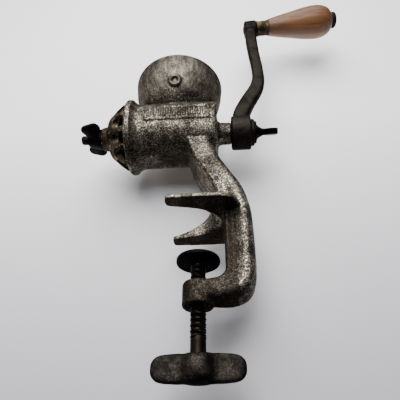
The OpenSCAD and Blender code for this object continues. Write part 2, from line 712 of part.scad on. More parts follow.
body_casting();
feed_screw();
thrust_washer();
cutter_stud();
cutter();
cutter_wing_nut();
crank_arm();
crank_washer();
crank_thumb_screw();
grip_spindle();
grip_ferrule();
wooden_grip();
grip_end_cap();
clamp_screw();
clamp_wing();
clamp_pad();
pad_rivet();
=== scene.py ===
import json
import logging
import math
from dataclasses import dataclass, field
from enum import Enum
from typing import Callable, Sequence

import bpy
from mathutils import Matrix, Vector


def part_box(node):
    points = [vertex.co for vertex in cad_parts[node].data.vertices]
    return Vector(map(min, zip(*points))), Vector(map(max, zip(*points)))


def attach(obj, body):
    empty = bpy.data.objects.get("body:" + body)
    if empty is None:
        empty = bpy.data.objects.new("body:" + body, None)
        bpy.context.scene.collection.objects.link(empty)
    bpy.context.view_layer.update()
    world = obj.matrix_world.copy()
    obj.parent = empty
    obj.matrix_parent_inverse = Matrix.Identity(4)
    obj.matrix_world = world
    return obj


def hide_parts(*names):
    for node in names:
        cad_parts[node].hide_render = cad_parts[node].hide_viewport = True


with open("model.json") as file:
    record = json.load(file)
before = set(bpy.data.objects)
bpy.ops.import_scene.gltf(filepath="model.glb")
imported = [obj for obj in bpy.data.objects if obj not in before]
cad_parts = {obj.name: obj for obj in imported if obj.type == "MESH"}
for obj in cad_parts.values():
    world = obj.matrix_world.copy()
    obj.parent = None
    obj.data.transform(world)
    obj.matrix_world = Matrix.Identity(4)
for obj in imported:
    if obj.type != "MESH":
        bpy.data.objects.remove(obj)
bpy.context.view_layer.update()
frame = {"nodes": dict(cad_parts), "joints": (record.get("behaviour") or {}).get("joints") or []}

LOG = logging.getLogger("grinder")
MM = 0.001
WELD = 0.001 * MM        # points nearer than this are one point
RING_REACH = 0.02 * MM   # how far a point of an end ring may lie from its height
GRIP_LEAN = math.radians(6)
FLANK_SLOPE = 2.6        # how fast a thread falls from its crest, in depths a pitch
CREST_FLAT = 0.1         # what is taken off that fall, in depths, so that the crest is flat
END_DROP = 0.3           # how far the rod's ends are turned down below the root, in millimetres
END_SLOPE = 1.1          # how steeply the rod's ends widen

Colour = tuple[float, float, float]
Socket = bpy.types.NodeSocket
Piece = bpy.types.Object
Profile = Sequence[tuple[float, float]]


class Body(Enum):
    """The CAD bodies that pieces ride on."""

    CASTING = "root"
    CRANK = "crank"
    GRIP = "grip"
    PAD = "pad"
    SCREW = "screw"


# ---------------------------------------------------------------- places taken from the frame


@dataclass(frozen=True)
class Places:
    """The axes that the turned pieces are built on, as matrices that take +Z to the axis."""

    barrel: Matrix
    grip: Matrix
    clamp: Matrix

    @staticmethod
    def read() -> "Places":
        """Works the axes out from the frame.

        Returns:
            The places that the pieces are built around.
        """
        low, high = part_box("crank_washer")
        along_x = Matrix.Rotation(math.pi / 2, 4, "Y")
        barrel = Matrix.Translation((0, 0, (low.z + high.z) / 2)) @ along_x
        spin = next(j for j in frame["joints"] if j["name"] == "grip_spin")
        way = Vector(spin["axis"]).normalized()
        grip = Matrix.Translation(spin["pos_m"]) @ way.to_track_quat("Z", "Y").to_matrix().to_4x4()
        return Places(barrel=barrel, grip=grip, clamp=Matrix.Identity(4))


# ---------------------------------------------------------------- modelling steps


class Bench:
    """Modelling steps that the pieces share."""

    @staticmethod
    def pick(piece: Piece) -> None:
        """Selects one piece and makes it active.

        Args:
            piece: The piece.
        """
        bpy.ops.object.select_all(action="DESELECT")
        piece.select_set(True)
        bpy.context.view_layer.objects.active = piece

    @staticmethod
    def settle(piece: Piece, place: Matrix) -> None:
        """Puts a piece in its place and moves that place into its mesh.

        Args:
            piece: The piece.
            place: Its place.
        """
        Bench.pick(piece)
        piece.matrix_world = place @ piece.matrix_world
        bpy.ops.object.transform_apply(location=True, rotation=True, scale=True)

    @staticmethod
    def modify(piece: Piece, kind: str, **settings: object) -> None:
        """Adds a modifier and applies it.

        Args:
            piece: The piece.
            kind: The modifier's type.
            settings: Its settings.
        """
        Bench.pick(piece)
        modifier = piece.modifiers.new(kind.lower(), kind)
        for name, value in settings.items():
            setattr(modifier, name, value)
        bpy.ops.object.modifier_apply(modifier=modifier.name)

    @staticmethod
    def recalculate(piece: Piece, weld: float = WELD) -> None:
        """Merges doubles and turns the faces outwards.

        Args:
            piece: The piece.
            weld: The distance under which points are merged.
        """
        Bench.pick(piece)
        bpy.ops.object.mode_set(mode="EDIT")
        bpy.ops.mesh.select_all(action="SELECT")
        bpy.ops.mesh.remove_doubles(threshold=weld)
        bpy.ops.mesh.normals_make_consistent(inside=False)
        bpy.ops.object.mode_set(mode="OBJECT")

    @staticmethod
    def close_ring(piece: Piece, z: float, reach: float) -> None:
        """Closes the open ring at a height with a face.

        Args:
            piece: The piece.
            z: The ring's height.
            reach: How far from that height a point may lie.
        """
        Bench.pick(piece)
        bpy.ops.object.mode_set(mode="EDIT")
        bpy.ops.mesh.select_all(action="DESELECT")
        bpy.ops.mesh.select_mode(type="VERT")
        bpy.ops.mesh.select_non_manifold(extend=False)
        bpy.ops.object.mode_set(mode="OBJECT")
        for point in piece.data.vertices:
            point.select = point.select and abs(point.co.z - z) < reach
        bpy.ops.object.mode_set(mode="EDIT")
        bpy.ops.mesh.edge_face_add()
        bpy.ops.object.mode_set(mode="OBJECT")

    @staticmethod
    def turned(name: str, profile: Profile, place: Matrix, hollow: bool = False, segments: int = 64,
               edge: float = 0.0, angle: float = 35) -> Piece:
        """Builds a turned piece, ring by ring.

        Args:
            name: The piece's name.
            profile: Radius and height of each ring, in millimetres.
            place: The matrix that takes +Z to the piece's axis.
            hollow: Whether the last ring joins the first one round a bore.
            segments: The number of points in a ring.
            edge: The width of the bevel on sharp edges, in millimetres.
            angle: The angle in degrees past which an edge is sharp.

        Returns:
            The piece.
        """
        rings = list(profile) + ([profile[0]] if hollow else [])
        bpy.ops.object.select_all(action="DESELECT")
        bpy.ops.mesh.primitive_circle_add(vertices=segments, radius=rings[0][0] * MM, fill_type="NOTHING",
                                          location=(0, 0, rings[0][1] * MM))
        piece = bpy.context.object
        piece.name = piece.data.name = name
        bpy.ops.object.transform_apply(location=True, rotation=True, scale=True)
        bpy.ops.object.mode_set(mode="EDIT")
        bpy.ops.mesh.select_all(action="SELECT")
        for (r, z), (next_r, next_z) in zip(rings, rings[1:]):
            bpy.ops.mesh.extrude_region_move(TRANSFORM_OT_translate={"value": (0, 0, (next_z - z) * MM)})
            share = next_r / r
            bpy.ops.transform.resize(value=(share, share, 1), center_override=(0, 0, next_z * MM))
        bpy.ops.object.mode_set(mode="OBJECT")
        if not hollow:
            for r, z in (rings[0], rings[-1]):
                Bench.close_ring(piece, z * MM, RING_REACH)
        Bench.recalculate(piece)
        if edge:
            Bench.modify(piece, "BEVEL", width=edge * MM, segments=3, limit_method="ANGLE",
                         angle_limit=math.radians(angle))
        Bench.pick(piece)
        bpy.ops.object.shade_smooth_by_angle(angle=math.radians(angle))
        Bench.settle(piece, place)
        return piece

    @staticmethod
    def cast_from(node: str, name: str, voxel: float, soften: int, most: int, skin: float = 0.0,
                  grain: float = 3.0) -> Piece:
        """Builds a soft-edged casting over a CAD node's shape.

        Args:
            node: The CAD node.
            name: The new piece's name.
            voxel: The mesh's fineness in millimetres.
            soften: How many times edges and inner corners are smoothed.
            most: The most triangles that the piece may have.
            skin: The depth of the uneven skin in millimetres.
            grain: The size of that unevenness in millimetres.

        Returns:
            The piece.
        """
        Bench.pick(frame["nodes"][node])
        bpy.ops.object.duplicate()
        piece = bpy.context.object
        piece.name = piece.data.name = name
        piece.parent = None
        piece.matrix_world = Matrix.Identity(4)
        Bench.pick(piece)
        bpy.ops.object.mode_set(mode="EDIT")
        bpy.ops.mesh.select_all(action="SELECT")
        bpy.ops.mesh.remove_doubles(threshold=WELD)
        bpy.ops.object.mode_set(mode="OBJECT")
        Bench.modify(piece, "REMESH", mode="VOXEL", voxel_size=voxel * MM)
        if soften:
            Bench.modify(piece, "SMOOTH", factor=0.5, iterations=soften)
        if skin:
            texture = bpy.data.textures.new(name + "_skin", "CLOUDS")
            texture.noise_scale = grain * MM
            texture.noise_depth = 3
            Bench.modify(piece, "DISPLACE", texture=texture, texture_coords="LOCAL", strength=-skin * MM,
                         mid_level=0.5)
        triangles = 2 * len(piece.data.polygons)
        if triangles > most:
            Bench.modify(piece, "DECIMATE", decimate_type="COLLAPSE", ratio=most / triangles)
        Bench.pick(piece)
        bpy.ops.object.shade_smooth()
        return piece

    @staticmethod
    def threaded(name: str, radius: float, root: float, pitch: float, low: float, high: float, place: Matrix,
                 plain: Callable[[float], float | None], segments: int = 48, per_turn: int = 10) -> Piece:
        """Builds a rod with a right-hand thread.

        Args:
            name: The piece's name.
            radius: The thread's outer radius in millimetres.
            root: The thread's depth in millimetres.
            pitch: The distance that one turn covers, in millimetres.
            low: Where the rod starts, in millimetres.
            high: Where it ends, in millimetres.
            place: The matrix that takes +Z to the rod's axis.
            plain: Gives the radius at a height where the rod has no thread, or None.
            segments: The number of points in a ring.
            per_turn: The number of rings in one turn of the thread.

        Returns:
            The piece.
        """
        length = high - low
        bpy.ops.object.select_all(action="DESELECT")
        bpy.ops.mesh.primitive_cylinder_add(vertices=segments, radius=radius * MM, depth=length * MM,
                                            location=(0, 0, (low + high) / 2 * MM))
        rod = bpy.context.object
        rod.name = rod.data.name = name
        bpy.ops.object.transform_apply(location=True, rotation=True, scale=True)
        bpy.ops.object.mode_set(mode="EDIT")
        bpy.ops.mesh.select_mode(type="EDGE")
        bpy.ops.mesh.select_all(action="DESELECT")
        bpy.ops.object.mode_set(mode="OBJECT")
        points = rod.data.vertices
        for line in rod.data.edges:
            rise = points[line.vertices[0]].co.z - points[line.vertices[1]].co.z
            line.select = abs(rise) > 0.5 * length * MM
        bpy.ops.object.mode_set(mode="EDIT")
        bpy.ops.mesh.subdivide(number_cuts=round(length / pitch * per_turn))
        bpy.ops.object.mode_set(mode="OBJECT")
        for point in rod.data.vertices:
            x, y, z = point.co / MM
            phase = (z / pitch - math.atan2(y, x) / math.tau) % 1
            sunk = min(1.0, max(0.0, FLANK_SLOPE * abs(phase - 0.5) - CREST_FLAT))
            new_r = radius - root * sunk
            flat = plain(z)
            if flat is not None:
                new_r = flat
            new_r = min(new_r, radius - root - END_DROP + min(z - low, high - z) * END_SLOPE)
            point.co.x, point.co.y = (new_r * MM * c / math.hypot(x, y) for c in (x, y))
        Bench.pick(rod)
        bpy.ops.object.shade_smooth_by_angle(angle=math.radians(50))
        Bench.settle(rod, place)
        return rod


def smooth_profile(rows: Profile, steps: int) -> list[tuple[float, float]]:
    """Gives a smooth curve through a profile's points.

    Args:
        rows: Radius and height of each point.
        steps: The number of stretches between two points.

    Returns:
        The curve's points.
    """
    curve = []
    for i in range(len(rows) - 1):
        a, b, c, d = (Vector(rows[min(max(k, 0), len(rows) - 1)]) for k in (i - 1, i, i + 1, i + 2))
        for k in range(steps):
            t = k / steps
            curve.append(tuple(0.5 * (2 * b + (c - a) * t + (2 * a - 5 * b + 4 * c - d) * t * t
                                      + (3 * b - 3 * c + d - a) * t * t * t)))
    return curve + [tuple(rows[-1])]


def fit_in(piece: Piece, finish: bpy.types.Material, slot: str, body: Body, *nodes: str) -> None:
    """Dresses a piece, ties it to its body and hides the CAD nodes that it stands for.

    Args:
        piece: The piece.
        finish: Its material.
        slot: Not used.
        body: The body that it rides on.
        nodes: The CAD nodes that it stands for.
    """
    piece.data.materials.clear()
    piece.data.materials.append(finish)
    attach(piece, body.value)
    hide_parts(*nodes)
    LOG.info("%s: %d faces", piece.name, len(piece.data.polygons))


# ---------------------------------------------------------------- node trees for the finishes


class NodeTree:
    """A small writer for one material's node tree."""

    def __init__(self, name: str) -> None:
        """Starts an empty material.

        Args:
            name: The material's name.
        """
        self.material = bpy.data.materials.new(name)
        self.material.use_nodes = True
        self.tree = self.material.node_tree
        self.tree.nodes.clear()
        self.output = self.tree.nodes.new("ShaderNodeOutputMaterial")
        self.shader = self.tree.nodes.new("ShaderNodeBsdfPrincipled")
        self.tree.links.new(self.shader.outputs[0], self.output.inputs[0])
        self.place = self.tree.nodes.new("ShaderNodeTexCoord").outputs["Object"]

    def link(self, source: Socket, target: Socket) -> None:
        """Links an output to an input.

        Args:
            source: The output.
            target: The input.
        """
        self.tree.links.new(source, target)

    def stretched(self, scale: Sequence[float], turn: Sequence[float] = (0, 0, 0)) -> Socket:
        """Gives object coordinates stretched along each axis.

        Args:
            scale: The factor along X, Y and Z.
            turn: A rotation in radians about X, Y and Z.

        Returns:
            The mapped vector.
        """
        node = self.tree.nodes.new("ShaderNodeMapping")
        node.inputs["Scale"].default_value = tuple(scale)
        node.inputs["Rotation"].default_value = tuple(turn)
        self.link(self.place, node.inputs["Vector"])
        return node.outputs["Vector"]

    def noise(self, scale: float, detail: float = 4, rough: float = 0.55, warp: float = 0,
              vector: Socket | None = None) -> Socket:
        """Adds a noise pattern.

        Args:
            scale: How many features fit in a metre.
            detail: The number of octaves.
            rough: How strong the finer octaves are.
            warp: How far the pattern is distorted.
            vector: Coordinates to read, or None for object coordinates.

        Returns:
            The noise value, from 0 to 1.
        """
        node = self.tree.nodes.new("ShaderNodeTexNoise")
        node.inputs["Scale"].default_value = scale
        node.inputs["Detail"].default_value = detail
        node.inputs["Roughness"].default_value = rough
        node.inputs["Distortion"].default_value = warp
        self.link(vector or self.place, node.inputs["Vector"])
        return node.outputs["Fac"]

    def span(self, value: Socket, low: float, high: float, to_low: float = 0, to_high: float = 1) -> Socket:
        """Maps low..high of a value onto to_low..to_high, with soft ends.

        Args:
            value: The value to map.
            low: The input that gives to_low.
            high: The input that gives to_high.
            to_low: The output at low.
            to_high: The output at high.

        Returns:
            The mapped value.
        """
        node = self.tree.nodes.new("ShaderNodeMapRange")
        node.interpolation_type = "SMOOTHSTEP"
        node.inputs["From Min"].default_value = low
        node.inputs["From Max"].default_value = high
        node.inputs["To Min"].default_value = to_low
        node.inputs["To Max"].default_value = to_high
        self.link(value, node.inputs["Value"])
        return node.outputs["Result"]

    def math(self, kind: str, a: Socket | float, b: Socket | float = 0.0) -> Socket:
        """Adds an operation on two values.

        Args:
            kind: The operation, such as MULTIPLY.
            a: The first value.
            b: The second value.

        Returns:
            The result.
        """
        node = self.tree.nodes.new("ShaderNodeMath")
        node.operation = kind
        for value, target in ((a, node.inputs[0]), (b, node.inputs[1])):
            if isinstance(value, (int, float)):
                target.default_value = value
            else:
                self.link(value, target)
        return node.outputs[0]

    def blend(self, share: Socket, first: Socket | Colour, second: Socket | Colour) -> Socket:
        """Mixes two colours.

        Args:
            share: How much of the second colour shows.
            first: The colour at 0.
            second: The colour at 1.

        Returns:
            The mixed colour.
        """
        node = self.tree.nodes.new("ShaderNodeMix")
        node.data_type = "RGBA"
        self.link(share, node.inputs["Factor"])
        for value, target in ((first, node.inputs[6]), (second, node.inputs[7])):
            if isinstance(value, tuple):
                target.default_value = (*value, 1)
            else:
                self.link(value, target)
        return node.outputs[2]

    def edges(self, low: float, high: float) -> Socket:
        """Marks the mesh's raised edges.

        Args:
            low: The pointiness that gives 0.
            high: The pointiness that gives 1.

        Returns:
            The mark, from 0 to 1.
        """
        node = self.tree.nodes.new("ShaderNodeNewGeometry")
        return self.span(node.outputs["Pointiness"], low, high)

    def relief(self, height: Socket, depth: float) -> None:
        """Gives the surface a relief.

        Args:
            height: The height pattern, from 0 to 1.
            depth: Its depth in metres.
        """
        node = self.tree.nodes.new("ShaderNodeBump")
        node.inputs["Distance"].default_value = depth
        node.inputs["Strength"].default_value = 1.0
        self.link(height, node.inputs["Height"])
        self.link(node.outputs["Normal"], self.shader.inputs["Normal"])

    def wire(self, colour: Socket, rough: Socket, metal: Socket | float = 1.0) -> None:
        """Links the shader's main inputs.

        Args:
            colour: The base colour.
            rough: The roughness.
            metal: The metallic share.
        """
        self.link(colour, self.shader.inputs["Base Color"])
        self.link(rough, self.shader.inputs["Roughness"])
        if isinstance(metal, (int, float)):
            self.shader.inputs["Metallic"].default_value = metal
        else:
            self.link(metal, self.shader.inputs["Metallic"])

    def near(self, patch: "Patch") -> Socket:
        """Marks the surface near a patch's centre.

        Args:
            patch: The patch.

        Returns:
            The mark, from 0 to the patch's share.
        """
        node = self.tree.nodes.new("ShaderNodeVectorMath")
        node.operation = "DISTANCE"
        node.inputs[1].default_value = patch.centre
        self.link(self.place, node.inputs[0])
        return self.span(node.outputs["Value"], patch.outer, patch.inner, 0, patch.share)

    def height_share(self, axis: str, low: float, high: float) -> Socket:
        """Marks where a coordinate goes from low to high.

        Args:
            axis: The axis, X, Y or Z.
            low: The coordinate in metres that gives 0.
            high: The coordinate in metres that gives 1.

        Returns:
            The mark, from 0 to 1.
        """
        node = self.tree.nodes.new("ShaderNodeSeparateXYZ")
        self.link(self.place, node.inputs[0])
        return self.span(node.outputs[axis], low, high)


@dataclass(frozen=True)
class Patch:
    """A round patch where a casting is painted darker, for painted shade and for a darker tone."""

    centre: Vector
    inner: float
    outer: float
    share: float


@dataclass(frozen=True)
class AgedIron:
    """Old iron: a mottled skin with dark pits, bright flecks, worn edges, painted shade in its hollows and
    darker patches.
    """

    name: str
    dark: Colour
    mid: Colour
    bright: Colour
    stain: Colour
    speck_size: float = 0.78 * MM
    speckle: float = 1.0
    pit_depth: float = 0.1 * MM
    rough_low: float = 0.32
    rough_high: float = 0.6
    wear: float = 0.6
    metal: float = 0.9
    bowl_z: float | None = None
    # Round patches where the colour is painted darker: painted shade in some of them, a darker tone in the
    # rest.
    grime_and_shade: tuple[Patch, ...] = ()
    groove_x: float | None = None
    edge_tint: float = 0.4
    crest: float = 0.53

    def make(self) -> bpy.types.Material:
        """Builds the material.

        Returns:
            The material.
        """
        t = NodeTree(self.name)
        per_m = 1 / self.speck_size
        clouds = t.noise(per_m * 0.07, 4, 0.6, 0.5)
        mottle = t.noise(per_m * 0.45, 5, 0.7, 0.3)
        grain = t.noise(per_m, 3, 0.7)
        zones = t.span(clouds, 0.38, 0.62)
        base = t.blend(zones, self.dark, self.mid)
        stains = t.span(t.noise(per_m * 0.13, 4, 0.65, 1.0), 0.5, 0.7, 0, 0.75)
        base = t.blend(stains, base, self.stain)
        level = t.math("ADD", t.math("MULTIPLY", grain, 0.65), t.math("MULTIPLY", mottle, 0.35))
        flecks = t.math("MULTIPLY", t.span(level, 0.49, 0.61), t.span(clouds, 0.36, 0.6, 0.3, 1.0))
        flecks = t.math("MULTIPLY", flecks, self.speckle)
        pits = t.span(level, 0.45, 0.38)
        if self.bowl_z is not None:
            bowl = t.height_share("Z", self.bowl_z, self.bowl_z + 6 * MM)
            streaks = t.noise(330, 5, 0.65, 0.4, t.stretched((1, 1, 0.16)))
            drawn = t.blend(t.span(streaks, 0.36, 0.72), tuple(0.75 * c for c in self.mid),
                            tuple(0.36 * c for c in self.bright))
            drawn = t.blend(t.span(t.noise(140, 3, 0.6, 0.8), 0.46, 0.66, 0, 0.8), drawn, self.stain)
            base = t.blend(bowl, base, drawn)
            calm = t.math("SUBTRACT", 1.0, t.math("MULTIPLY", bowl, 0.55))
            flecks = t.math("MULTIPLY", flecks, calm)
            pits = t.math("MULTIPLY", pits, calm)
        shade_and_grime_share = self.shade_and_grime_mark(t)
        # Painted shade and darker patches: the base colour is pulled towards half the stain colour, and the
        # flecks are dimmed there.
        if shade_and_grime_share is not None:
            base = t.blend(shade_and_grime_share, base, tuple(0.5 * c for c in self.stain))
            flecks = t.math("MULTIPLY", flecks, t.math("SUBTRACT", 1.0, t.math("MULTIPLY", shade_and_grime_share, 0.85)))
        colour = t.blend(flecks, base, self.bright)
        worn = t.math("MULTIPLY", t.edges(self.crest, self.crest + 0.07), self.wear)
        colour = t.blend(worn, colour, self.bright)
        # Painted shade in hollows and creases (low pointiness), blended towards the dark colour, together
        # with the dirt that sits there.
        colour = t.blend(t.math("MULTIPLY", t.edges(0.49, 0.43), 0.85), colour, self.dark)
        colour = t.blend(t.math("MULTIPLY", pits, 0.7), colour, tuple(0.5 * c for c in self.dark))
        gloss = t.span(t.math("SUBTRACT", t.math("MULTIPLY", mottle, 0.7), t.math("MULTIPLY", flecks, 0.3)),
                       0.05, 0.45, self.rough_low, self.rough_high)
        t.wire(colour, gloss, self.metal)
        t.shader.inputs["Specular Tint"].default_value = (self.edge_tint, self.edge_tint, self.edge_tint, 1)
        t.relief(t.math("SUBTRACT", level, t.math("MULTIPLY", pits, 0.5)), self.pit_depth)
        return t.material

    def shade_and_grime_mark(self, t: NodeTree) -> Socket | None:
        """Marks where the metal is painted darker: painted shade under the barrel, in the jaw corner and in
        the leg's groove, and darker round patches elsewhere.

        Args:
            t: The material's tree.

        Returns:
            The mark, or None where the finish has no darkened places.
        """
        mark = None
        for patch in self.grime_and_shade:
            near = t.near(patch)
            mark = near if mark is None else t.math("MAXIMUM", mark, near)
        # Painted shade in the leg's inner groove: the casting below the fork plate and inboard of groove_x is
        # darkened as a shaded recess.
        if self.groove_x is not None:
            inside = t.math("MULTIPLY", t.height_share("X", self.groove_x + 3 * MM, self.groove_x),
                            t.height_share("Z", 1.5 * MM, -0.5 * MM))
            mark = inside if mark is None else t.math("MAXIMUM", mark, inside)
        return mark


@dataclass(frozen=True)
class TurnedWood:
    """Worn, oiled hardwood with its grain along the grip."""

    name: str
    pale: Colour
    deep: Colour
    grime_and_shade: Colour
    lean: float
    shoulder: float
    end: float

    def make(self) -> bpy.types.Material:
        """Builds the material.

        Returns:
            The material.
        """
        t = NodeTree(self.name)
        turn = (0, self.lean, 0)
        fibres = t.noise(1.0, 6, 0.62, 0.2, t.stretched((34, 520, 520), turn))
        bands = t.noise(1.0, 3, 0.55, 0.6, t.stretched((9, 120, 120), turn))
        clouds = t.noise(70, 4, 0.6)
        colour = t.blend(t.span(bands, 0.36, 0.66), self.pale, self.deep)
        colour = t.blend(t.span(fibres, 0.46, 0.66, 0, 0.6), colour, self.grime_and_shade)
        colour = t.blend(t.span(clouds, 0.48, 0.74, 0, 0.5), colour, self.deep)
        nicks = t.span(t.noise(1.0, 2, 0.5, 0, t.stretched((90, 1500, 1500), turn)), 0.68, 0.75, 0, 0.75)
        colour = t.blend(nicks, colour, self.grime_and_shade)
        for low, high in ((self.shoulder + 16 * MM, self.shoulder), (self.end - 9 * MM, self.end)):
            colour = t.blend(t.math("MULTIPLY", t.height_share("X", low, high), 0.6), colour, self.grime_and_shade)
        t.wire(colour, t.span(fibres, 0.3, 0.7, 0.52, 0.68), 0.0)
        t.shader.inputs["Coat Weight"].default_value = 0.05
        t.shader.inputs["Coat Roughness"].default_value = 0.35
        t.relief(t.math("SUBTRACT", fibres, nicks), 0.06 * MM)
        return t.material


class Finishes:
    """All the finishes that the grinder shows."""

    def __init__(self) -> None:
        """Makes each material once."""
        wood_low, wood_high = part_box("wooden_grip")
        barrel_z = (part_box("crank_washer")[0].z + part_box("crank_washer")[1].z) / 2
        boss_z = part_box("clamp_pad")[0].z - 21 * MM
        hopper_x, groove_x = -0.017, 0.0235
        # Round patches where the casting is painted darker. Under the barrel and in the jaw corner they are
        # painted shade; at the boss, the side panel, the neck and the hopper's rim they only darken the
        # casting's colour.
        boss = Patch(Vector((0, 0, boss_z)), 13 * MM, 24 * MM, 0.9)
        # Painted shade below the barrel.
        shade_under_barrel = Patch(Vector((-0.016, 0, barrel_z - 34 * MM)), 8 * MM, 40 * MM, 0.75)
        # Painted shade in the jaw's inner corner.
        jaw_corner_shade = Patch(Vector((0.020, -0.010, boss_z + 8 * MM)), 2 * MM, 10 * MM, 0.7)
        panel = Patch(Vector((hopper_x, -0.028, barrel_z + 5 * MM)), 6 * MM, 26 * MM, 0.5)
        neck = Patch(Vector((0.010, -0.018, barrel_z - 50 * MM)), 2 * MM, 18 * MM, 0.35)
        rim = Patch(Vector((hopper_x, 0, barrel_z + 62 * MM)), 35 * MM, 41 * MM, 0.85)
        grime_and_shade = (boss, shade_under_barrel, jaw_corner_shade, panel, neck, rim)
        self.casting = AgedIron("tinned_casting", (0.014, 0.0115, 0.009), (0.060, 0.051, 0.040),
                                (0.46, 0.415, 0.34), (0.028, 0.021, 0.015), wear=0.35, grime_and_shade=grime_and_shade,
                                bowl_z=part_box("body_casting")[1].z - 36 * MM,
                                groove_x=groove_x, edge_tint=0.3).make()
        self.screw_casting = AgedIron("tinned_feed_screw", (0.036, 0.0312, 0.0264), (0.102, 0.093, 0.078),
                                      (0.385, 0.364, 0.322), (0.048, 0.036, 0.0252), rough_low=0.26).make()
        self.steel = AgedIron("dull_steel", (0.06, 0.054, 0.048), (0.12, 0.114, 0.102), (0.27, 0.258, 0.24),
                              (0.066, 0.048, 0.033), speckle=0.4, pit_depth=0.03 * MM).make()
        self.cutter = AgedIron("bronzed_cutter", (0.01, 0.0075, 0.005), (0.0375, 0.028, 0.0185),
                               (0.31, 0.248, 0.1674), (0.024, 0.015, 0.0085), speckle=0.3, wear=1.0,
                               rough_low=0.28, rough_high=0.5).make()
        self.black = AgedIron("black_iron", (0.0025, 0.0025, 0.0027), (0.0055, 0.0054, 0.0055),
                              (0.025, 0.024, 0.023), (0.005, 0.004, 0.0035), speckle=0.2, pit_depth=0.04 * MM,
                              wear=0.3, rough_low=0.34, rough_high=0.5).make()
        self.grey = AgedIron("grey_iron", (0.006, 0.0053, 0.0045), (0.017, 0.0145, 0.012),
                             (0.095, 0.085, 0.07), (0.013, 0.009, 0.006),
                             speckle=0.3, pit_depth=0.07 * MM, wear=0.35,
                             rough_low=0.36, rough_high=0.58).make()
        self.forged = AgedIron("forged_iron", (0.006, 0.0052, 0.0043), (0.0155, 0.013, 0.0108),
                               (0.066, 0.0578, 0.0468), (0.0132, 0.0096, 0.0066), speckle=0.2,
                               pit_depth=0.05 * MM, wear=0.3, rough_low=0.42, rough_high=0.6).make()
        self.brass = AgedIron("aged_brass", (0.011, 0.008, 0.0045), (0.072, 0.052, 0.027), (0.27, 0.20, 0.11),
                              (0.014, 0.01, 0.006), speckle=0.4, pit_depth=0.04 * MM, wear=0.7).make()
        self.pad = AgedIron("black_pad", (0.0015, 0.0015, 0.0015), (0.0032, 0.0031, 0.003),
                            (0.011, 0.0105, 0.01), (0.003, 0.0025, 0.0022), speckle=0.15, pit_depth=0.04 * MM,
                            wear=0.25, rough_low=0.42, rough_high=0.55).make()
        # The thread's crests are brightened in full and its roots darkened: wear on the crests, with a
        # painted highlight on them and painted shade in the roots.
        self.thread = AgedIron("screw_steel", (0.0022, 0.0018, 0.0015), (0.010, 0.0078, 0.006),
                               (0.13, 0.10, 0.072), (0.0075, 0.005, 0.0034), speckle=0.04,
                               pit_depth=0.01 * MM,
                               wear=1.0, rough_low=0.34, rough_high=0.46, crest=0.515).make()
        self.wood = TurnedWood("worn_wood", (0.15, 0.0535, 0.0065), (0.085, 0.028, 0.0034),
                               (0.030, 0.010, 0.002), GRIP_LEAN, wood_low.x, wood_high.x).make()


# ---------------------------------------------------------------- camera, lights and backdrop


@dataclass(frozen=True)
class Lamp:
    """A round area lamp, aimed at the grinder's middle."""

    name: str
    place: Vector
    size: float
    power: float


LAMPS = (
    Lamp("top_lamp", Vector((-0.04, -0.60, 0.46)), 0.85, 14.5),
    Lamp("front_lamp", Vector((-0.10, -0.75, 0.05)), 0.4, 3.4),
    Lamp("left_lamp", Vector((-0.6, -0.3, 0.15)), 0.3, 0.8),
    Lamp("back_lamp", Vector((0.2, 0.75, 0.45)), 0.7, 14.0),
    Lamp("back_left_lamp", Vector((-0.45, 0.6, 0.1)), 0.5, 5.0),
)
LAMP_TARGET = Vector((0, 0, 0.05))


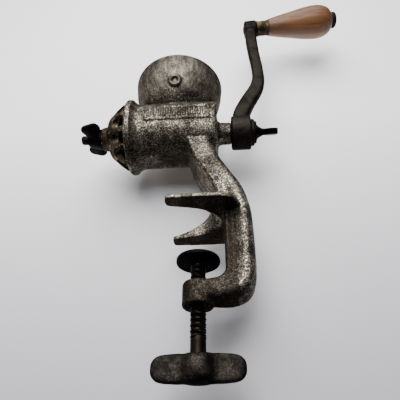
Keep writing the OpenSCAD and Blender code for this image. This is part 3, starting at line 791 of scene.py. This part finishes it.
@dataclass
class Studio:
    """The camera, the lights and the pale board behind the grinder."""

    eye: Vector = field(default_factory=lambda: Vector((0.0152, -0.2286, -0.1581)))
    azimuth: float = math.radians(3.8)
    elevation: float = math.radians(-37.8)
    field_of_view: float = 2 * math.atan(200 / 401)
    board_y: float = 0.041
    board_size: float = 3.0
    lens_shift: tuple[float, float] = (0.0044, 0.001)
    # The board's colour is painted darker towards the bottom and lighter towards the top, over this height
    # either side of its middle: a painted light falloff.
    falloff_half_height: float = 0.16
    board_shaded_bottom: Colour = (0.36, 0.355, 0.385)
    board_lit_top: Colour = (0.90, 0.90, 0.93)
    fill_strength: float = 0.06
    seen_strength: float = 0.8

    def build(self) -> None:
        """Makes the camera, the board and the lights."""
        self.make_camera()
        self.make_board()
        self.make_lights()

    def make_camera(self) -> None:
        """Places the camera in front of the grinder, below it and looking up."""
        data = bpy.data.cameras.new("camera")
        data.angle = self.field_of_view
        data.clip_start, data.clip_end = 0.005, 20
        data.shift_x, data.shift_y = self.lens_shift
        camera = bpy.data.objects.new("camera", data)
        bpy.context.scene.collection.objects.link(camera)
        cos_e = math.cos(self.elevation)
        back = Vector((math.sin(self.azimuth) * cos_e, -math.cos(self.azimuth) * cos_e,
                       math.sin(self.elevation)))
        right = Vector((math.cos(self.azimuth), math.sin(self.azimuth), 0))
        up = back.cross(right)
        turn = Matrix((right, up, back)).transposed().to_4x4()
        camera.matrix_world = Matrix.Translation(self.eye) @ turn
        bpy.context.scene.camera = camera

    def board_material(self) -> bpy.types.Material:
        """Makes the board's material, seen only from its front and with no shadow of its own. Its colour
        carries a painted light falloff, dark at the bottom and light at the top.

        Returns:
            The material.
        """
        material = bpy.data.materials.new("pale_board")
        material.use_nodes = True
        tree = material.node_tree
        shader = tree.nodes["Principled BSDF"]
        place = tree.nodes.new("ShaderNodeTexCoord")
        split = tree.nodes.new("ShaderNodeSeparateXYZ")
        ramp = tree.nodes.new("ShaderNodeValToRGB")
        height = tree.nodes.new("ShaderNodeMapRange")
        # Painted light falloff: the board's colour goes from dark at the bottom to light at the top.
        height.inputs["From Min"].default_value = -self.falloff_half_height
        height.inputs["From Max"].default_value = self.falloff_half_height
        ramp.color_ramp.elements[0].color = (*self.board_shaded_bottom, 1)
        ramp.color_ramp.elements[1].color = (*self.board_lit_top, 1)
        tree.links.new(place.outputs["Object"], split.inputs[0])
        tree.links.new(split.outputs["Z"], height.inputs["Value"])
        tree.links.new(height.outputs["Result"], ramp.inputs["Fac"])
        tree.links.new(ramp.outputs["Color"], shader.inputs["Base Color"])
        shader.inputs["Roughness"].default_value = 0.6
        clear = tree.nodes.new("ShaderNodeBsdfTransparent")
        mix = tree.nodes.new("ShaderNodeMixShader")
        side = tree.nodes.new("ShaderNodeNewGeometry")
        rays, either = tree.nodes.new("ShaderNodeLightPath"), tree.nodes.new("ShaderNodeMath")
        either.operation = "MAXIMUM"
        tree.links.new(side.outputs["Backfacing"], either.inputs[0])
        tree.links.new(rays.outputs["Is Shadow Ray"], either.inputs[1])
        tree.links.new(either.outputs[0], mix.inputs[0])
        tree.links.new(shader.outputs[0], mix.inputs[1])
        tree.links.new(clear.outputs[0], mix.inputs[2])
        tree.links.new(mix.outputs[0], tree.nodes["Material Output"].inputs[0])
        return material

    def make_board(self) -> None:
        """Stands a pale board behind the grinder, with its front towards the camera."""
        bpy.ops.mesh.primitive_plane_add(size=self.board_size, location=(0, self.board_y, 0),
                                         rotation=(math.pi / 2, 0, 0))
        board = bpy.context.object
        board.name = "board"
        bpy.ops.object.transform_apply(location=True, rotation=True, scale=True)
        board.data.materials.append(self.board_material())

    def make_lights(self) -> None:
        """Lights the grinder with large soft lamps and a pale world."""
        world = bpy.data.worlds.new("world")
        bpy.context.scene.world = world
        world.use_nodes = True
        nodes, links = world.node_tree.nodes, world.node_tree.links
        fill, seen = nodes["Background"], nodes.new("ShaderNodeBackground")
        fill.inputs[0].default_value = (0.86, 0.89, 1.0, 1)
        fill.inputs[1].default_value = self.fill_strength
        seen.inputs[0].default_value = (0.80, 0.80, 0.82, 1)
        seen.inputs[1].default_value = self.seen_strength
        rays, mix = nodes.new("ShaderNodeLightPath"), nodes.new("ShaderNodeMixShader")
        links.new(rays.outputs["Is Camera Ray"], mix.inputs[0])
        links.new(fill.outputs[0], mix.inputs[1])
        links.new(seen.outputs[0], mix.inputs[2])
        links.new(mix.outputs[0], nodes["World Output"].inputs[0])
        for lamp in LAMPS:
            data = bpy.data.lights.new(lamp.name, "AREA")
            data.shape = "DISK"
            data.size = lamp.size
            data.energy = lamp.power
            light = bpy.data.objects.new(lamp.name, data)
            light.location = lamp.place
            light.rotation_mode = "QUATERNION"
            light.rotation_quaternion = (lamp.place - LAMP_TARGET).to_track_quat("Z", "Y")
            bpy.context.scene.collection.objects.link(light)


# ---------------------------------------------------------------- the grinder's sub-assemblies


@dataclass
class Casting:
    """The barrel, hopper, bracket and clamp frame, cast in one piece."""

    finishes: "Finishes"
    voxel: float = 0.55
    soften: int = 3
    most: int = 190_000
    skin: float = 0.28
    grain: float = 3.2

    def build(self) -> None:
        """Makes the casting over its CAD shape."""
        piece = Bench.cast_from("body_casting", "main_casting", voxel=self.voxel, soften=self.soften,
                                most=self.most, skin=self.skin, grain=self.grain)
        fit_in(piece, self.finishes.casting, "tinned_cast_iron", Body.CASTING, "body_casting")


@dataclass
class DriveLine:
    """The feed screw, its washer, the cutter, its stud and its wing nut."""

    finishes: "Finishes"
    places: Places
    stud_pitch: float = 1.27
    stud_bite: float = 0.45

    def build(self) -> None:
        """Makes each piece of the drive line."""
        f = self.finishes
        feed = Bench.cast_from("feed_screw", "feed_screw_casting", voxel=0.55, soften=4, most=120_000,
                               skin=0.12)
        fit_in(feed, f.screw_casting, "tinned_feed_screw", Body.CRANK, "feed_screw")
        cutter = Bench.cast_from("cutter", "cutter_casting", voxel=0.4, soften=3, most=150_000,
                                 skin=0.1, grain=2.2)
        fit_in(cutter, f.cutter, "bronzed_cutter", Body.CRANK, "cutter")
        nut = Bench.cast_from("cutter_wing_nut", "wing_nut_casting", voxel=0.36, soften=6, most=90_000,
                              skin=0.12, grain=2.0)
        fit_in(nut, f.black, "black_iron", Body.CRANK, "cutter_wing_nut")
        self.build_stud()
        self.build_thrust_washer()

    def build_stud(self) -> None:
        """Makes the threaded stud."""
        low, high = (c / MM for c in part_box("cutter_stud"))
        radius = (high.z - low.z) / 2
        stud = Bench.threaded("stud_thread", radius, self.stud_bite, self.stud_pitch, low.x, high.x,
                              self.places.barrel, lambda z: None, 40, 10)
        fit_in(stud, self.finishes.grey, "bright_steel", Body.CRANK, "cutter_stud")

    def build_thrust_washer(self) -> None:
        """Makes the washer that the feed screw pushes against."""
        low, high = (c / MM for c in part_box("thrust_washer"))
        outer, bore = (high.z - low.z) / 2, 5.9
        rows = [(bore, low.x), (outer - 0.2, low.x), (outer, low.x + 0.2), (outer, high.x - 0.2),
                (outer - 0.2, high.x), (bore, high.x)]
        washer = Bench.turned("thrust_ring", rows, self.places.barrel, True, 72, 0.12)
        fit_in(washer, self.finishes.steel, "bright_steel", Body.CASTING, "thrust_washer")


@dataclass
class Crank:
    """The S-bent arm with its washer and thumb screw."""

    finishes: "Finishes"
    places: Places

    def build(self) -> None:
        """Makes the arm, the washer and the thumb screw."""
        f = self.finishes
        arm = Bench.cast_from("crank_arm", "crank_forging", voxel=0.5, soften=9, most=170_000,
                              skin=0.12, grain=4.0)
        fit_in(arm, f.forged, "forged_iron", Body.CRANK, "crank_arm")
        thumb = Bench.cast_from("crank_thumb_screw", "thumb_screw", voxel=0.34, soften=6, most=80_000,
                                skin=0.06, grain=2.0)
        fit_in(thumb, f.black, "black_iron", Body.CRANK, "crank_thumb_screw")
        low, high = (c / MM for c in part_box("crank_washer"))
        outer, bore, mid = (high.z - low.z) / 2, 2.95, (low.x + high.x) / 2
        rows = [(bore, low.x), (outer - 0.7, low.x), (outer - 0.2, low.x + 0.25), (outer, low.x + 0.7),
                (outer, high.x - 0.7), (outer - 0.2, high.x - 0.25), (outer - 0.7, high.x),
                (outer - 1.6, high.x), (outer - 1.9, high.x - 0.15), (bore, high.x - 0.1), (bore, mid)]
        washer = Bench.turned("crank_washer_ring", rows, self.places.barrel, True, 72)
        fit_in(washer, f.forged, "forged_iron", Body.CRANK, "crank_washer")


@dataclass
class Grip:
    """The wooden grip with its ferrule, cap and spindle."""

    finishes: "Finishes"
    places: Places
    eye_half: float = 6.0
    gap: float = 0.3
    ferrule_len: float = 12.6
    ferrule_r: float = 7.9
    bore: float = 3.26
    grip_len: float = 66.4
    grip_r: float = 16.8
    cap_r: float = 8.2
    cap_t: float = 6.4
    cap_recess: float = 1.2

    def build(self) -> None:
        """Makes the four pieces of the grip."""
        self.build_ferrule()
        self.build_wood()
        self.build_cap()
        self.build_spindle()

    def build_ferrule(self) -> None:
        """Makes the ferrule, with a rolled rim at each end."""
        start = self.eye_half + self.gap
        end, r = start + self.ferrule_len, self.ferrule_r
        rows = [(self.bore, start), (r - 1.2, start), (r - 0.45, start + 0.15), (r - 0.05, start + 0.6),
                (r, start + 1.1), (r - 0.1, start + 1.7), (r - 0.5, start + 2.1), (r - 0.55, start + 3.4),
                (r - 0.42, start + 6.5), (r - 0.4, end - 2.6), (r - 0.15, end - 1.9), (r, end - 1.2),
                (r - 0.1, end - 0.5), (r - 0.5, end - 0.1), (r - 0.95, end - 0.1), (r - 0.95, end - 2.9),
                (self.bore, end - 2.9)]
        piece = Bench.turned("ferrule_tube", rows, self.places.grip, True, 72)
        fit_in(piece, self.finishes.brass, "aged_brass", Body.GRIP, "grip_ferrule")

    def build_wood(self) -> None:
        """Makes the turned wooden grip."""
        start = self.eye_half + self.gap + self.ferrule_len
        length, top = self.grip_len, self.grip_r - 0.15
        end = start + length
        outline = smooth_profile([
            (top * r, start + length * z) for r, z in (
                (0.5, 0.002), (0.515, 0.012), (0.545, 0.05), (0.59, 0.1), (0.672, 0.2), (0.8, 0.38),
                (0.92, 0.54),
                (0.994, 0.7), (0.99, 0.8), (0.912, 0.89), (0.76, 0.955), (0.6, 0.987), (0.55, 0.998))], 5)
        neck = self.ferrule_r - 1
        rows = [(self.bore, start - 2.8), (neck, start - 2.8), (neck, start + 0.05)] + outline + [
            (self.cap_r + 0.1, end - 0.15), (self.cap_r + 0.05, end - self.cap_recess),
            (self.bore, end - self.cap_recess)]
        piece = Bench.turned("grip_wood", rows, self.places.grip, True, 96, angle=40)
        fit_in(piece, self.finishes.wood, "worn_wood", Body.GRIP, "wooden_grip")

    def build_cap(self) -> None:
        """Makes the domed cap at the grip's end, with a groove round its middle."""
        start = self.eye_half + self.gap + self.ferrule_len + self.grip_len - self.cap_recess
        end, r = start + self.cap_t, self.cap_r
        well = r - 3.4 + self.gap
        rows = [(self.bore, start), (r - 0.3, start), (r, start + 0.3), (r, end - 1.9), (r - 0.25, end - 1.1),
                (r - 0.8, end - 0.45), (r - 1.6, end - 0.08), (well + 0.7, end), (well + 0.1, end - 0.15),
                (well, end - 0.5), (well, end - 2.1), (self.bore, end - 2.1)]
        piece = Bench.turned("grip_cap", rows, self.places.grip, True, 72, angle=45)
        fit_in(piece, self.finishes.forged, "forged_iron", Body.GRIP, "grip_end_cap")

    def build_spindle(self) -> None:
        """Makes the spindle, with a hammered head at each end."""
        head_t = 1.8
        wood_end = self.eye_half + self.gap + self.ferrule_len + self.grip_len
        head = wood_end + self.cap_t - self.cap_recess - head_t
        back, r, wide = -self.eye_half - 1.4, 3.2, self.cap_r - 3.4
        rows = [(0.4, back), (2.6, back + 0.05), (3.9, back + 0.3), (4.6, back + 0.75), (4.75, back + 1.2),
                (4.5, back + 1.4), (r, back + 1.4), (r, head), (wide - 0.3, head), (wide, head + 0.4),
                (wide - 0.15, head + 0.9), (wide - 0.8, head + 1.45), (2.2, head + 1.75), (0.4, head + 1.8)]
        piece = Bench.turned("grip_rivet", rows, self.places.grip, False, 56, angle=45)
        fit_in(piece, self.finishes.grey, "bright_steel", Body.CRANK, "grip_spindle")


@dataclass
class Clamp:
    """The clamp screw with its wing, its swivel pad and the pad's rivet."""

    finishes: "Finishes"
    places: Places
    pitch: float = 1.5875
    bite: float = 0.85
    shank: float = 8.0

    def build(self) -> None:
        """Makes the four pieces of the clamp."""
        f = self.finishes
        low, high = (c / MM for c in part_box("clamp_screw"))
        radius = (high.x - low.x) / 2
        wing_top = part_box("clamp_wing")[1].z / MM
        screw = Bench.threaded("clamp_thread", radius, self.bite, self.pitch, low.z, high.z,
                               self.places.clamp,
                               lambda z: radius - 0.35 if z < wing_top + self.shank else None, 48, 10)
        fit_in(screw, f.thread, "screw_steel", Body.SCREW, "clamp_screw")
        wing = Bench.cast_from("clamp_wing", "wing_casting", voxel=0.42, soften=8, most=120_000,
                               skin=0.22, grain=2.6)
        fit_in(wing, f.grey, "black_iron", Body.SCREW, "clamp_wing")
        self.build_pad()
        self.build_rivet()

    def build_pad(self) -> None:
        """Makes the swivel pad, with a raised rim and shallow rings on its face."""
        low, high = (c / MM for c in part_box("clamp_pad"))
        r, z0, z1 = (high.x - low.x) / 2, low.z, high.z
        bore, well = 2.46, 5.2
        rows = [(bore, z0), (r - 5.5, z0), (r - 5.2, z0 + 0.25), (r - 2.2, z0 + 0.45), (r - 1.6, z0 + 0.3),
                (r - 0.9, z0 + 0.35), (r - 0.3, z0 + 0.75), (r, z0 + 1.4), (r, z1 - 1.2), (r - 0.3, z1 - 0.5),
                (r - 1.0, z1 - 0.05), (r - 2.0, z1), (r - 2.3, z1 - 0.3), (r - 4.3, z1 - 0.3), (r - 4.6, z1),
                (well + 0.5, z1), (well, z1 - 0.5), (well, z1 - 2.5), (bore, z1 - 2.5)]
        pad = Bench.turned("pad_disc", rows, self.places.clamp, True, 80)
        fit_in(pad, self.finishes.pad, "black_pad", Body.PAD, "clamp_pad")

    def build_rivet(self) -> None:
        """Makes the rivet that holds the pad to the screw."""
        low, high = (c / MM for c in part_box("pad_rivet"))
        r = (high.x - low.x) / 2
        rows = [(0.4, low.z), (2.3, low.z), (2.38, low.z + 0.2), (2.38, high.z - 1.25),
                (r - 0.2, high.z - 1.2),
                (r, high.z - 0.9), (r - 0.2, high.z - 0.55), (r - 1.1, high.z - 0.2), (2.0, high.z - 0.03),
                (0.4, high.z)]
        rivet = Bench.turned("pad_pin", rows, self.places.clamp, False, 48, angle=45)
        fit_in(rivet, self.finishes.steel, "bright_steel", Body.SCREW, "pad_rivet")


def main() -> None:
    """Builds the grinder's looks around the frame."""
    logging.basicConfig(level=logging.INFO, format="%(message)s")
    bpy.ops.object.select_all(action="DESELECT")
    Studio().build()
    finishes, places = Finishes(), Places.read()
    Casting(finishes).build()
    DriveLine(finishes, places).build()
    Crank(finishes, places).build()
    Grip(finishes, places).build()
    Clamp(finishes, places).build()


if __name__ == "__main__":
    main()
